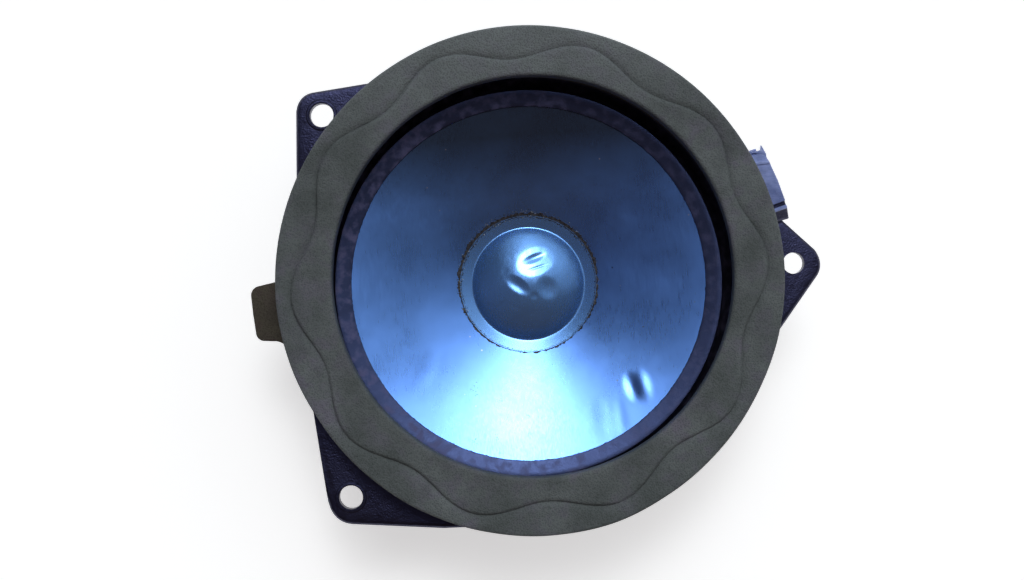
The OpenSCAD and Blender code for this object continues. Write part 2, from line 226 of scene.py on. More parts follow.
def slab(bm, outline, low, high, edge):
    """A flat piece with the outline given, counterclockwise, and rounded edges."""
    count = len(outline)
    inward = []
    for i in range(count):
        ahead = Vector(outline[(i + 1) % count]) - Vector(outline[i - 1])
        inward.append(Vector((-ahead.y, ahead.x)).normalized())
    # Shares of the edge: how far in and how far from the face each layer lies
    steps = [(1, 0), (0.35, 0.12), (0.08, 0.45), (0, 1)]
    layers = [(edge * a, low + edge * b) for a, b in steps]
    layers += [(edge * a, high - edge * b) for a, b in steps[::-1]]
    rows = []
    for inset, z in layers:
        flat = [Vector(outline[i]) + inset * inward[i] for i in range(count)]
        rows.append([bm.verts.new((p.x, p.y, z)) for p in flat])
    bm.faces.new(list(reversed(rows[0])))
    bm.faces.new(rows[-1])
    for here, there in zip(rows, rows[1:]):
        for i in range(count):
            n = (i + 1) % count
            bm.faces.new((here[i], here[n], there[n], there[i]))


def lump(bm, centre, size, rng, flat=0.7, material=0):
    """A small irregular crumb."""
    made = bmesh.ops.create_icosphere(bm, subdivisions=1, radius=1)
    turn = Matrix.Rotation(rng.uniform(0, TURN), 3, "Z")
    scale = Vector((rng.uniform(0.6, 1.3), rng.uniform(0.6, 1.1), flat * rng.uniform(0.6, 1.1)))
    for vert in made["verts"]:
        vert.co = turn @ (vert.co * rng.uniform(0.75, 1.15) * scale) * size + centre
    for face in {f for v in made["verts"] for f in v.link_faces}:
        face.material_index = material


def tube(bm, route, radius, sides, relief=None):
    """A closed tube along a list of points."""
    rows = []
    for i, point in enumerate(route):
        ahead = (route[min(i + 1, len(route) - 1)] - route[max(i - 1, 0)]).normalized()
        side = Vector((0, 0, 1)).cross(ahead).normalized()
        up = ahead.cross(side)
        row = []
        for k in range(sides):
            a = TURN * k / sides
            r = radius * (relief(i, a) if relief else 1)
            row.append(bm.verts.new(point + r * (math.cos(a) * side + math.sin(a) * up)))
        rows.append(row)
    ring_faces(bm, rows, closed=False)
    bm.faces.new(rows[0])
    bm.faces.new(list(reversed(rows[-1])))


def smooth_route(points, steps=8):
    """Points on a smooth curve through the points given."""
    points = [Vector(p) for p in points]
    ends = [2 * points[0] - points[1]] + points + [2 * points[-1] - points[-2]]
    out = []
    for i in range(len(points) - 1):
        a, b, c, d = ends[i:i + 4]
        for k in range(steps):
            t = k / steps
            out.append(0.5 * (2 * b + (c - a) * t + (2 * a - 5 * b + 4 * c - d) * t ** 2
                              + (3 * b - a - 3 * c + d) * t ** 3))
    out.append(points[-1])
    return out


# ---------------- materials

class Nodes:
    """Short calls that add nodes to a tree and link them."""

    def __init__(self, tree):
        self.tree = tree

    def node(self, kind, **settings):
        made = self.tree.nodes.new(kind)
        for key, value in settings.items():
            setattr(made, key, value)
        return made

    def feed(self, socket, value):
        """Links an output to an input, or sets the input to a plain value."""
        if isinstance(value, bpy.types.NodeSocket):
            self.tree.links.new(value, socket)
        elif isinstance(value, tuple) and len(value) == 3 and socket.type == "RGBA":
            socket.default_value = (*value, 1)
        else:
            socket.default_value = value

    def levels(self, value, low, high, bottom=0.0, top=1.0):
        """Turns low..high of a value into bottom..top."""
        made = self.node("ShaderNodeMapRange")
        for socket, setting in zip(made.inputs, (value, low, high, bottom, top)):
            self.feed(socket, setting)
        return made.outputs["Result"]

    def maths(self, operation, *values):
        made = self.node("ShaderNodeMath", operation=operation)
        for socket, value in zip(made.inputs, values):
            self.feed(socket, value)
        return made.outputs["Value"]

    def dot(self, a, b):
        made = self.node("ShaderNodeVectorMath", operation="DOT_PRODUCT")
        self.feed(made.inputs[0], a)
        self.feed(made.inputs[1], b)
        return made.outputs["Value"]


class Look(Nodes):
    """A material with one Principled shader, and short calls that wire texture nodes to it."""

    def __init__(self, name, colour, roughness, **values):
        self.material = bpy.data.materials.new(name)
        self.material.use_nodes = True
        super().__init__(self.material.node_tree)
        self.shader = self.tree.nodes["Principled BSDF"]
        self.colour(colour)
        self.roughness(roughness)
        for socket, value in values.items():
            self.shader.inputs[socket.replace("_", " ")].default_value = value
        self.place = self.node("ShaderNodeTexCoord").outputs["Object"]

    def stretched(self, scale):
        """Object coordinates with each axis scaled."""
        made = self.node("ShaderNodeMapping")
        made.inputs["Scale"].default_value = scale
        self.feed(made.inputs["Vector"], self.place)
        return made.outputs["Vector"]

    def texture(self, kind, scale, place=None, **settings):
        """A texture node that reads the object's coordinates, or the place given."""
        made = self.node("ShaderNodeTex" + kind, **settings)
        made.inputs["Scale"].default_value = scale
        self.feed(made.inputs["Vector"], place or self.place)
        return made

    def noise(self, size, detail=2, place=None, distortion=0.0):
        """Noise whose features are about that size."""
        made = self.texture("Noise", 1 / size, place)
        made.inputs["Detail"].default_value = detail
        made.inputs["Distortion"].default_value = distortion
        return made.outputs["Fac"]

    def cells(self, size, output="Distance"):
        return self.texture("Voronoi", 1 / size).outputs[output]

    def rings(self, size, distortion=0.0, direction="Z", bands=False):
        """Rings around an axis, or bands across it, a size apart."""
        made = self.texture("Wave", 1 / (size * 3.18), wave_type="BANDS" if bands else "RINGS")
        setattr(made, "bands_direction" if bands else "rings_direction", direction)
        made.inputs["Distortion"].default_value = distortion
        return made.outputs["Fac"]

    def mixed(self, share, a, b):
        made = self.node("ShaderNodeMix", data_type="RGBA")
        self.feed(made.inputs["Factor"], share)
        self.feed(made.inputs["A"], a)
        self.feed(made.inputs["B"], b)
        return made.outputs["Result"]

    def edges(self, radius):
        """1 on edges, 0 on flat surfaces, for wear."""
        bevel = self.node("ShaderNodeBevel", samples=4)
        bevel.inputs["Radius"].default_value = radius
        plain = self.node("ShaderNodeNewGeometry").outputs["Normal"]
        return self.levels(self.dot(bevel.outputs["Normal"], plain), 0.995, 0.8)

    def along(self, axis, low, high, bottom=0.0, top=1.0):
        """Turns low..high along an axis, in metres, into bottom..top."""
        split = self.node("ShaderNodeSeparateXYZ")
        self.feed(split.inputs["Vector"], self.place)
        return self.levels(split.outputs[axis], low, high, bottom, top)

    def colour(self, value):
        self.feed(self.shader.inputs["Base Color"], value)

    def roughness(self, value):
        self.feed(self.shader.inputs["Roughness"], value)

    def bump(self, *layers):
        """Each layer is (height from 0 to 1, depth in metres)."""
        normal = None
        for height, depth in layers:
            made = self.node("ShaderNodeBump")
            made.inputs["Distance"].default_value = depth
            self.feed(made.inputs["Height"], height)
            if normal:
                self.feed(made.inputs["Normal"], normal)
            normal = made.outputs["Normal"]
        self.feed(self.shader.inputs["Normal"], normal)


def tinted_by(tone, *shares):
    """A colour with each channel scaled, or all of them by one share."""
    return tuple(v * k for v, k in zip(tone, shares * (3 // len(shares))))


def foam_look(name, dark, light):
    """Fine open-cell foam, with a painted highlight that makes it paler towards +Y."""
    look = Look(name, light, 0.95, Specular_IOR_Level=0.12)
    mottle = look.noise(14 * MM, 4)
    grain = look.noise(0.7 * MM, 3)
    pores = look.cells(0.55 * MM)
    violet = tinted_by(light, 1.02, 0.88, 1.08)
    tinted = look.mixed(look.levels(look.noise(5 * MM, 3), 0.45, 0.62), light, violet)
    base = look.mixed(look.levels(mottle, 0.35, 0.68), dark, tinted)
    # Painted highlight: paler towards +Y, where the foam's rounded outer edge catches the light.
    base = look.mixed(look.along("Y", 48 * MM, 82 * MM, 0, 0.55), base, tinted_by(light, 1.5))
    pitted = look.mixed(look.levels(pores, 0.55, 0.1, 0, 0.55), base, tinted_by(dark, 0.45))
    look.colour(look.mixed(look.levels(grain, 0.35, 0.75, 0, 0.35), pitted, light))
    look.bump((look.noise(3 * MM, 2), 0.25 * MM), (pores, 0.16 * MM), (grain, 0.14 * MM))
    return look.material


def basket_look(name):
    """Black moulded plastic with a fine grain."""
    look = Look(name, (0.006, 0.005, 0.008), 0.38, Specular_Tint=(0.42, 0.45, 1, 1), IOR=1.68)
    cloudy = look.noise(9 * MM, 3)
    grain = look.noise(0.55 * MM, 2)
    worn = look.maths("MULTIPLY", look.edges(0.5 * MM), look.levels(look.noise(3 * MM, 4), 0.45, 0.7))
    base = look.mixed(look.levels(cloudy, 0.3, 0.7), (0.0035, 0.003, 0.005), (0.009, 0.008, 0.013))
    look.colour(look.mixed(worn, base, (0.05, 0.047, 0.06)))
    look.roughness(look.levels(look.noise(4 * MM, 3), 0.3, 0.7, 0.28, 0.44))
    look.bump((grain, 0.11 * MM), (look.noise(1.8 * MM, 2), 0.12 * MM))
    return look.material


def rubber_look():
    """Dull rubber with dust, more of it towards -X."""
    look = Look("surround_rubber", (0.01, 0.009, 0.014), 0.4, Specular_Tint=(0.3, 0.42, 1, 1), IOR=2.1)
    dust = look.levels(look.noise(3 * MM, 5), 0.46, 0.66)
    dust = look.maths("MULTIPLY", dust, look.along("X", 30 * MM, -55 * MM, 0.4, 1))
    fine = look.noise(0.4 * MM, 2)
    look.colour(look.mixed(look.maths("MULTIPLY", dust, 0.6), (0.009, 0.008, 0.012), (0.12, 0.1, 0.17)))
    look.roughness(look.levels(dust, 0, 1, 0.38, 0.6))
    look.bump((fine, 0.03 * MM), (look.noise(2.5 * MM, 2), 0.05 * MM))
    return look.material


def coat_look(name, tone, roughness, metallic, speck):
    """Glossy metallic coating with fine scratches and dots of dust, and painted shade that makes it darker
    towards +Y.
    """
    look = Look(name, tone, roughness, Metallic=metallic, Specular_Tint=(0.6, 0.8, 1, 1))
    cloudy = look.noise(16 * MM, 3)
    hairline = look.noise(0.35 * MM, 2, place=look.stretched((1, 0.06, 1)))
    dots = look.cells(speck)
    some = look.node("ShaderNodeSeparateColor")
    look.feed(some.inputs["Color"], look.cells(speck, output="Color"))
    patchy = look.levels(look.noise(11 * MM, 2), 0.42, 0.62)
    light_dot = look.maths("MULTIPLY", look.levels(dots, 0.1, 0.05),
                           look.levels(some.outputs["Red"], 0.8, 0.83))
    dark_dot = look.maths("MULTIPLY", look.levels(dots, 0.11, 0.05),
                          look.levels(some.outputs["Green"], 0.88, 0.9))
    base = look.mixed(look.levels(cloudy, 0.3, 0.7), tinted_by(tone, 0.86), tone)
    # Painted shade: darker towards +Y near the rim, where the foam ring shades the cone.
    base = look.mixed(look.along("Y", 29 * MM, 49 * MM), base, tinted_by(tone, 0.42, 0.32, 0.24))
    dusty = look.mixed(look.maths("MULTIPLY", light_dot, patchy), base, (0.55, 0.62, 0.8))
    look.colour(look.mixed(look.maths("MULTIPLY", dark_dot, patchy), dusty, (0.02, 0.03, 0.06)))
    uneven = look.maths("ADD", hairline, cloudy)
    look.roughness(look.levels(uneven, 0.7, 1.3, roughness * 0.85, roughness * 1.2))
    look.bump((hairline, 0.0015 * MM), (look.noise(0.8 * MM, 3), 0.004 * MM),
              (look.noise(7 * MM, 2), 0.02 * MM))
    return look.material


def pulp_look():
    """Pressed paper pulp, black, on the cone's rear side."""
    look = Look("cone_pulp", (0.02, 0.02, 0.022), 0.85)
    fibres = look.noise(0.9 * MM, 4, distortion=1.5)
    look.colour(look.mixed(look.levels(fibres, 0.35, 0.7), (0.012, 0.012, 0.014), (0.04, 0.04, 0.045)))
    look.bump((fibres, 0.12 * MM), (look.noise(0.3 * MM, 2), 0.05 * MM))
    return look.material


def metal_look(name, tone, roughness, ring=None, stain=(0.35, 0.3, 0.22), wear=0.4):
    """Plated steel: turned rings, stains and bright edges."""
    look = Look(name, tone, roughness, Metallic=1.0)
    blotch = look.levels(look.noise(8 * MM, 5), 0.5, 0.72)
    fine = look.noise(0.25 * MM, 3)
    stained = look.mixed(look.maths("MULTIPLY", blotch, 0.35), tone, stain)
    bright = tuple(min(1.25 * v, 0.95) for v in tone)
    look.colour(look.mixed(look.maths("MULTIPLY", look.edges(0.35 * MM), wear), stained, bright))
    look.roughness(look.levels(look.maths("ADD", blotch, fine), 0.3, 1.4, roughness * 0.8, roughness * 1.5))
    layers = [(fine, 0.012 * MM), (look.noise(2.5 * MM, 2), 0.03 * MM)]
    if ring:
        layers.append((look.rings(ring, 0.4), 0.012 * MM))
    look.bump(*layers)
    return look.material


def ferrite_look():
    """Ground ferrite: dark grey, with pits and chipped, paler edges."""
    look = Look("ferrite", (0.05, 0.05, 0.055), 0.6, IOR=1.9)
    grain = look.noise(0.5 * MM, 4)
    pits = look.levels(look.cells(1.6 * MM), 0.16, 0.05)
    chips = look.maths("MULTIPLY", look.edges(0.8 * MM), look.levels(look.noise(1.8 * MM, 4), 0.45, 0.6))
    base = look.mixed(look.levels(grain, 0.3, 0.7), (0.035, 0.035, 0.04), (0.07, 0.07, 0.075))
    look.colour(look.mixed(chips, base, (0.13, 0.13, 0.14)))
    look.roughness(look.levels(look.noise(6 * MM, 3), 0.3, 0.7, 0.45, 0.75))
    look.bump((grain, 0.05 * MM), (pits, -0.12 * MM), (look.rings(0.45 * MM, 1.5, bands=True), 0.008 * MM))
    return look.material


def socket_look():
    """Glossy slate-blue plastic with scuffs."""
    look = Look("socket_plastic", (0.2, 0.26, 0.55), 0.28, Coat_Weight=0.4, Coat_Roughness=0.12)
    haze = look.noise(4 * MM, 4)
    scuff = look.noise(0.3 * MM, 3, place=look.stretched((0.15, 1, 1)))
    base = look.mixed(look.levels(haze, 0.35, 0.7), (0.15, 0.2, 0.45), (0.27, 0.34, 0.7))
    worn = look.maths("MULTIPLY", look.edges(0.3 * MM), 0.5)
    look.colour(look.mixed(worn, base, (0.42, 0.5, 0.75)))
    look.roughness(look.levels(scuff, 0.35, 0.75, 0.2, 0.42))
    look.bump((scuff, 0.012 * MM), (haze, 0.05 * MM))
    return look.material


def cloth_look():
    """Woven cotton stiffened with resin."""
    look = Look("spider_cloth", (0.5, 0.34, 0.12), 0.7, Sheen_Weight=0.1)
    warp = look.rings(0.55 * MM, 0.3, "X", bands=True)
    weft = look.rings(0.55 * MM, 0.3, "Y", bands=True)
    weave = look.maths("MULTIPLY", warp, weft)
    uneven = look.noise(6 * MM, 3)
    base = look.mixed(look.levels(uneven, 0.3, 0.7), (0.42, 0.27, 0.08), (0.6, 0.42, 0.17))
    look.colour(look.mixed(look.levels(weave, 0.6, 0.05, 0, 0.6), base, (0.17, 0.1, 0.03)))
    look.roughness(look.levels(uneven, 0.3, 0.7, 0.5, 0.8))
    look.bump((weave, 0.12 * MM), (look.noise(0.2 * MM, 2), 0.03 * MM))
    return look.material


def glue_look(name, tone, light):
    """Dried glue, partly glossy."""
    look = Look(name, tone, 0.35, IOR=1.5)
    patch = look.noise(0.8 * MM, 3)
    look.colour(look.mixed(look.levels(patch, 0.4, 0.7), tone, light))
    look.roughness(look.levels(patch, 0.3, 0.7, 0.22, 0.6))
    look.bump((patch, 0.1 * MM))
    return look.material


def braid_look():
    """Copper tinsel, braided over a cotton core."""
    look = Look("tinsel", (0.62, 0.4, 0.2), 0.38, Metallic=0.85)
    strands = look.noise(0.12 * MM, 3, place=look.stretched((1, 1, 3)))
    tarnish = look.noise(3 * MM, 3)
    base = look.mixed(look.levels(tarnish, 0.35, 0.7), (0.66, 0.44, 0.22), (0.4, 0.24, 0.12))
    look.colour(look.mixed(look.levels(strands, 0.5, 0.3), base, (0.16, 0.09, 0.05)))
    look.roughness(look.levels(tarnish, 0.3, 0.7, 0.3, 0.5))
    look.bump((strands, 0.06 * MM))
    return look.material


def tape_look():
    """Grey acrylic tape between the rim and the foam."""
    look = Look("adhesive", (0.05, 0.05, 0.05), 0.5)
    streak = look.noise(2 * MM, 3)
    look.colour(look.mixed(look.levels(streak, 0.3, 0.7), (0.035, 0.035, 0.036), (0.075, 0.075, 0.072)))
    look.roughness(look.levels(streak, 0.3, 0.7, 0.35, 0.65))
    look.bump((look.noise(0.4 * MM, 2), 0.03 * MM))
    return look.material


def paper_look():
    """Kraft paper around the former."""
    look = Look("wrap_paper", (0.35, 0.23, 0.11), 0.75)
    fibre = look.noise(0.5 * MM, 4, place=look.stretched((1, 1, 0.3)))
    look.colour(look.mixed(look.levels(fibre, 0.3, 0.7), (0.27, 0.17, 0.075), (0.43, 0.3, 0.16)))
    look.bump((fibre, 0.05 * MM))
    return look.material


def wire_look():
    """Turns of enamelled copper wire."""
    look = Look("coil_wire", (0.5, 0.19, 0.06), 0.25, Metallic=0.7, Coat_Weight=0.6)
    turns = look.rings(0.3 * MM, 0, "Z", bands=True)
    look.colour(look.mixed(look.levels(turns, 0.5, 0.1), (0.55, 0.22, 0.08), (0.13, 0.035, 0.015)))
    look.roughness(look.levels(look.noise(2 * MM, 2), 0.3, 0.7, 0.2, 0.4))
    look.bump((turns, 0.1 * MM))
    return look.material


def floor_look():
    look = Look("studio_floor", (0.88, 0.88, 0.88), 0.9, Specular_IOR_Level=0.1)
    look.shader.inputs["Emission Color"].default_value = (1, 1, 1, 1)
    look.shader.inputs["Emission Strength"].default_value = 0.56
    return look.material


FOAM = foam_look("foam", (0.098, 0.112, 0.112), (0.165, 0.185, 0.19))
FOAM_BASE = foam_look("foam_base", (0.062, 0.054, 0.046), (0.1, 0.09, 0.068))
BASKET = basket_look("basket_plastic")
RUBBER = rubber_look()
CONE_COAT = coat_look("cone_coat", (0.17, 0.385, 1.0), 0.3, 0.96, 3.4 * MM)
CAP_COAT = coat_look("cap_coat", (0.2, 0.45, 1.0), 0.25, 0.8, 1.9 * MM)
PULP = pulp_look()
STEEL = metal_look("zinc_steel", (0.6, 0.59, 0.55), 0.34, ring=0.5 * MM)
SCREW = metal_look("screw_steel", (0.58, 0.57, 0.55), 0.28)
TIN = metal_look("tinned_brass", (0.72, 0.68, 0.55), 0.25, stain=(0.5, 0.36, 0.14))
SOLDER = metal_look("solder", (0.6, 0.6, 0.62), 0.22, wear=0.1)
FOIL = metal_look("former_foil", (0.75, 0.75, 0.77), 0.3, stain=(0.6, 0.6, 0.62))
FERRITE = ferrite_look()
SOCKET = socket_look()
# Black used as painted shade on the socket's rounded end and in its groove.
SOCKET_PAINTED_SHADE = basket_look("socket_painted_shade")
CLOTH = cloth_look()
GLUE = glue_look("glue", (0.012, 0.012, 0.016), (0.035, 0.035, 0.05))
GLUE_DUST = glue_look("glue_dust", (0.3, 0.3, 0.27), (0.6, 0.6, 0.55))
BRAID = braid_look()
TAPE = tape_look()
PAPER = paper_look()
WIRE = wire_look()


# ---------------- pieces

def place(piece, body, slot, *nodes):
    """Parents a piece under its body's empty and hides the CAD nodes that it stands for. The slot is not
    used.
    """
    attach(piece, body)
    if nodes:
        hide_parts(*nodes)


def stretch(piece, node, follow):
    """Bakes a piece in place and hides its CAD node. follow(vertex) is its share of the diaphragm's travel;
    the shares are worked out but not kept.
    """
    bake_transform(piece)
    shares = [follow(vertex.co) for vertex in piece.data.vertices]
    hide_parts(node)


def dress(node, material):
    """Gives a CAD node its material."""
    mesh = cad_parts[node].data
    mesh.materials.clear()
    mesh.materials.append(material)
    mesh.shade_smooth()
    mesh.set_sharp_from_angle(angle=math.radians(30))


# Dents of the cone and of the dust cap: (centre, half length, half width, angle, height), mm and degrees
CONE_DENTS = [
    ((31.6, -36.6), 6.0, 2.6, -75, -0.42), ((35.2, -36.4), 6.6, 2.8, -78, 0.30),
    ((27.2, -47.0), 9.0, 2.2, -85, -0.07), ((21.0, -47.0), 10.0, 3.5, -85, 0.05),
    ((-2.4, -22.6), 3.0, 0.7, -85, 0.10),
    ((-36.0, -26.0), 9.0, 4.0, 60, -0.05), ((34.0, 24.0), 12.0, 5.0, -40, -0.05),
]
CAP_DENTS = [
    ((2.6, 8.3), 4.7, 1.7, 18, -0.36), ((3.5, 5.2), 4.4, 0.6, 14, -0.1),
    ((-3.6, -0.2), 5.6, 2.7, -40, -0.44), ((6.3, -2.0), 4.6, 4.0, -60, -0.46),
    ((1.7, -4.2), 1.8, 1.6, 0, -0.12), ((-8.0, 1.0), 3.0, 1.4, 70, -0.05),
    ((-7.6, 4.5), 2.0, 1.2, 40, -0.05), ((-5.0, -7.5), 3.0, 1.0, -30, -0.06),
    ((-9.0, -6.0), 2.0, 0.9, 30, -0.05), ((0.5, -10.0), 2.6, 1.4, 0, -0.06),
]
# The flat spot pressed into the dust cap: centre, half length, half width, angle and depth
CAP_FLAT = ((3.0, 7.2), 6.6, 4.7, 18, 0.33)


def flat_spot(x, y):
    """Depth of the flat spot, which has a crisp edge."""
    *spot, depth = CAP_FLAT
    away = math.hypot(*in_oval(x, y, *spot))
    soft = 0.12
    inside = 1 - away * away
    return -depth * MM * 0.5 * (inside + math.sqrt(inside * inside + soft * soft))


def cone_shape(x, y, z):
    return dents_at(CONE_DENTS, x, y) + ripple(x, y, 22 * MM, 0.07 * MM) + ripple(x, y, 4 * MM, 0.006 * MM)


def make_cone():
    front_steps, back_steps, segments = 110, 30, 300
    span = CONE_RIM_R - NECK_R
    front = [NECK_R + span * i / front_steps for i in range(front_steps + 1)]
    back = [CONE_RIM_R - span * i / back_steps for i in range(back_steps + 1)]
    section = [(FORMER_R, NECK_Z)] + [(r, cone_z(r)) for r in front]
    section += [(r, cone_z(r) - CONE_T) for r in back]
    section += [(NECK_R, CONE_LOW.z), (FORMER_R, CONE_LOW.z)]
    bm = bmesh.new()
    swept_ring(bm, lambda angle: section, segments,
               shape=lambda x, y, z: cone_shape(x, y, z) if math.hypot(x, y) > FLANGE_R else 0)
    piece = finish_mesh(bm, "cone_shell", [CONE_COAT, PULP], pick=lambda face: int(face.normal.z < 0.3))
    place(piece, "diaphragm", "cone_coat", "cone")


def cap_top_z(r):
    """Height of the dust cap's front at a radius: dome, crease and flange."""
    dome = cone_z(CAP_R) + CAP_H - CAP_CURVE_R + math.sqrt(max(CAP_CURVE_R ** 2 - r * r, 0))
    flange = cone_z(max(r, NECK_R)) + CAP_T
    blend_w = 0.5 * MM
    gap = dome - flange
    return flange + 0.5 * (gap + math.sqrt(gap * gap + 0.06 * blend_w * MM))


def make_dust_cap():
    rings, segments = 96, 300
    radii = [FLANGE_R * i / rings for i in range(rings + 1)]
    section = [(r, cap_top_z(r)) for r in radii]
    section += [(FLANGE_R + 0.02 * MM, cone_z(FLANGE_R) + 0.1 * MM), (FLANGE_R - 0.1 * MM, cone_z(FLANGE_R))]
    inner = [CAP_R * (1 - i / 24) for i in range(25)]
    section += [(r, cap_top_z(r) - CAP_T) for r in inner]
    bm = bmesh.new()

    def shape(x, y, z):
        fade = 1 - smoothstep(CAP_R - 1.5 * MM, CAP_R, math.hypot(x, y))
        uneven = ripple(x, y, 5 * MM, 0.05 * MM) + ripple(x, y, 1.6 * MM, 0.012 * MM, 4.0)
        return fade * (dents_at(CAP_DENTS, x, y) + flat_spot(x, y) + uneven)

    swept_ring(bm, lambda angle: section, segments, shape=shape)
    piece = finish_mesh(bm, "dust_cap_shell", [CAP_COAT], sharp=50)
    place(piece, "diaphragm", "cap_coat", "dust_cap")


# Places of the crumbs that stick out on the cone, in mm
CONE_CRUMBS = [
    (-19.9, -32.4), (-20.4, -35.0), (-21.3, -34.0), (-10.0, -43.2), (-12.0, -38.1), (-3.4, -44.2),
    (-3.5, -49.4), (-21.0, -49.8), (-12.9, -52.5), (-13.9, -54.5), (-22.0, -50.6), (-14.0, -48.8),
    (-14.1, -49.9), (-14.3, -50.9),
]


def make_cap_glue():
    """The ragged bead around the dust cap's flange, and crumbs of glue beside it and on the cone."""
    rng = random.Random(RANDOM_SEED)
    bm = bmesh.new()

    def section(angle):
        c, s = math.cos(angle), math.sin(angle)
        ragged = noise.noise(Vector((c * 11, s * 11, 1.0))) + 0.7 * noise.noise(Vector((c * 34, s * 34, 2.0)))
        frayed = noise.noise(Vector((c * 24, s * 24, 9.0)))
        lean = 0.5 + 0.5 * math.sin(angle)
        inner = FLANGE_R - (0.35 + 0.55 * lean * max(frayed + 0.3, 0)) * MM
        outer = FLANGE_R + max(0.35 + 0.75 * lean + 0.65 * ragged, 0.15) * MM
        height = (0.12 + 0.1 * noise.noise(Vector((c * 30, s * 30, 5.0)))) * MM
        rise = 0.4 * MM
        return [
            (inner, cone_z(inner) + rise), (inner + 0.12 * MM, cone_z(inner) + rise + height * 0.5),
            ((inner + outer) / 2, cone_z((inner + outer) / 2) + height + 0.1 * MM),
            (outer - 0.1 * MM, cone_z(outer) + 0.12 * MM), (outer, cone_z(outer) - 0.02 * MM),
            (inner, cone_z(inner) - 0.05 * MM),
        ]

    swept_ring(bm, section, 540)
    crumbs = 620
    for _ in range(crumbs):
        angle = math.radians(rng.gauss(95, 70))
        spread = 2.2 * (0.55 + 0.45 * math.sin(angle))
        r = FLANGE_R + rng.uniform(-0.9, spread) * MM
        size = rng.uniform(0.06, 0.23) * MM
        rise = 0.45 * MM if r < FLANGE_R else 0
        centre = Vector((r * math.cos(angle), r * math.sin(angle), cone_z(r) + rise + 0.3 * size))
        lump(bm, centre, size, rng, material=int(rng.random() < 0.22))
    for x, y in CONE_CRUMBS:
        for _ in range(5):
            px, py = x * MM + rng.gauss(0, 0.35) * MM, y * MM + rng.gauss(0, 0.6) * MM
            size = rng.uniform(0.07, 0.2) * MM
            lump(bm, Vector((px, py, cone_z(math.hypot(px, py)) + 0.2 * size)), size, rng, flat=0.5)
    piece = finish_mesh(bm, "dust_cap_glue_bead", [GLUE, GLUE_DUST], sharp=60)
    place(piece, "diaphragm", "glue", "dust_cap_glue")


def make_neck_glue():
    """A soft fillet where the former meets the cone."""
    section = [(FORMER_R, NECK_Z), (NECK_R + 0.8 * MM, cone_z(NECK_R + 0.8 * MM)),
               (NECK_R + 0.3 * MM, NECK_Z + 0.45 * MM), (FORMER_R + 0.25 * MM, NECK_Z + 0.8 * MM),
               (FORMER_R, NECK_Z + 1.2 * MM)]
    bm = bmesh.new()
    swept_ring(bm, lambda angle: section, 96)
    piece = finish_mesh(bm, "neck_glue_fillet", [GLUE], sharp=60)
    place(piece, "diaphragm", "glue", "neck_glue")


def surround_section():
    """Band on the cone's slope, hanging roll and outer lip."""
    t = SURROUND_T
    lip_z = ROLL_HIGH.z - t / 2
    gap = 0.05 * MM
    arc_steps = 22
    outer_r, inner_r = ROLL_R + t / 2, ROLL_R - t / 2
    band_rs = [BAND_R + (ROLL_IN_R - 1.6 * MM - BAND_R) * i / 6 for i in range(7)]
    top = [(BAND_R + 0.12 * MM, cone_z(BAND_R) + gap + t - 0.02 * MM)]
    top += [(r, cone_z(r) + gap + t) for r in band_rs[1:]]
    top.append((ROLL_IN_R - 0.5 * MM, ROLL_HIGH.z - 0.1 * MM))
    top.append((ROLL_IN_R + 0.05 * MM, ROLL_HIGH.z - 0.12 * MM))
    for i in range(1, arc_steps):
        a = math.pi + math.pi * i / arc_steps
        top.append((ROLL_CENTRE_R + inner_r * math.cos(a), lip_z + inner_r * math.sin(a)))
    roll_end = ROLL_CENTRE_R + ROLL_R
    top += [(roll_end, ROLL_HIGH.z - 0.1 * MM), (roll_end + 0.6 * MM, ROLL_HIGH.z)]
    top += [(LIP_R - 0.1 * MM, ROLL_HIGH.z), (LIP_R, ROLL_HIGH.z - 0.1 * MM)]
    under = [(LIP_R, ROLL_HIGH.z - t)]
    for i in range(arc_steps + 1):
        a = TURN - math.pi * i / arc_steps
        under.append((ROLL_CENTRE_R + outer_r * math.cos(a), lip_z + outer_r * math.sin(a)))
    under += [(r, cone_z(r) + gap) for r in reversed(band_rs)]
    return top + under


def make_surround():
    section = surround_section()

    def wavy(angle):
        c, s = math.cos(angle), math.sin(angle)
        edge = 0.1 * MM * noise.noise(Vector((c * 14, s * 14, 0)))
        edge -= 0.35 * MM * max(noise.noise(Vector((c * 70, s * 70, 3.0))) - 0.05, 0)
        return [(r + edge * (1 - smoothstep(BAND_R, BAND_R + 1.2 * MM, r)), z) for r, z in section]

    bm = bmesh.new()
    swept_ring(bm, wavy, 540,
               shape=lambda x, y, z: ripple(x, y, 9 * MM, 0.05 * MM, 3.0))
    piece = finish_mesh(bm, "surround_rubber_ring", [RUBBER], sharp=50)

    def follow(point):
        return 1 - smoothstep(ROLL_IN_R, ROLL_CENTRE_R + ROLL_R - 0.4 * MM, math.hypot(point.x, point.y))

    stretch(piece, "surround", follow)


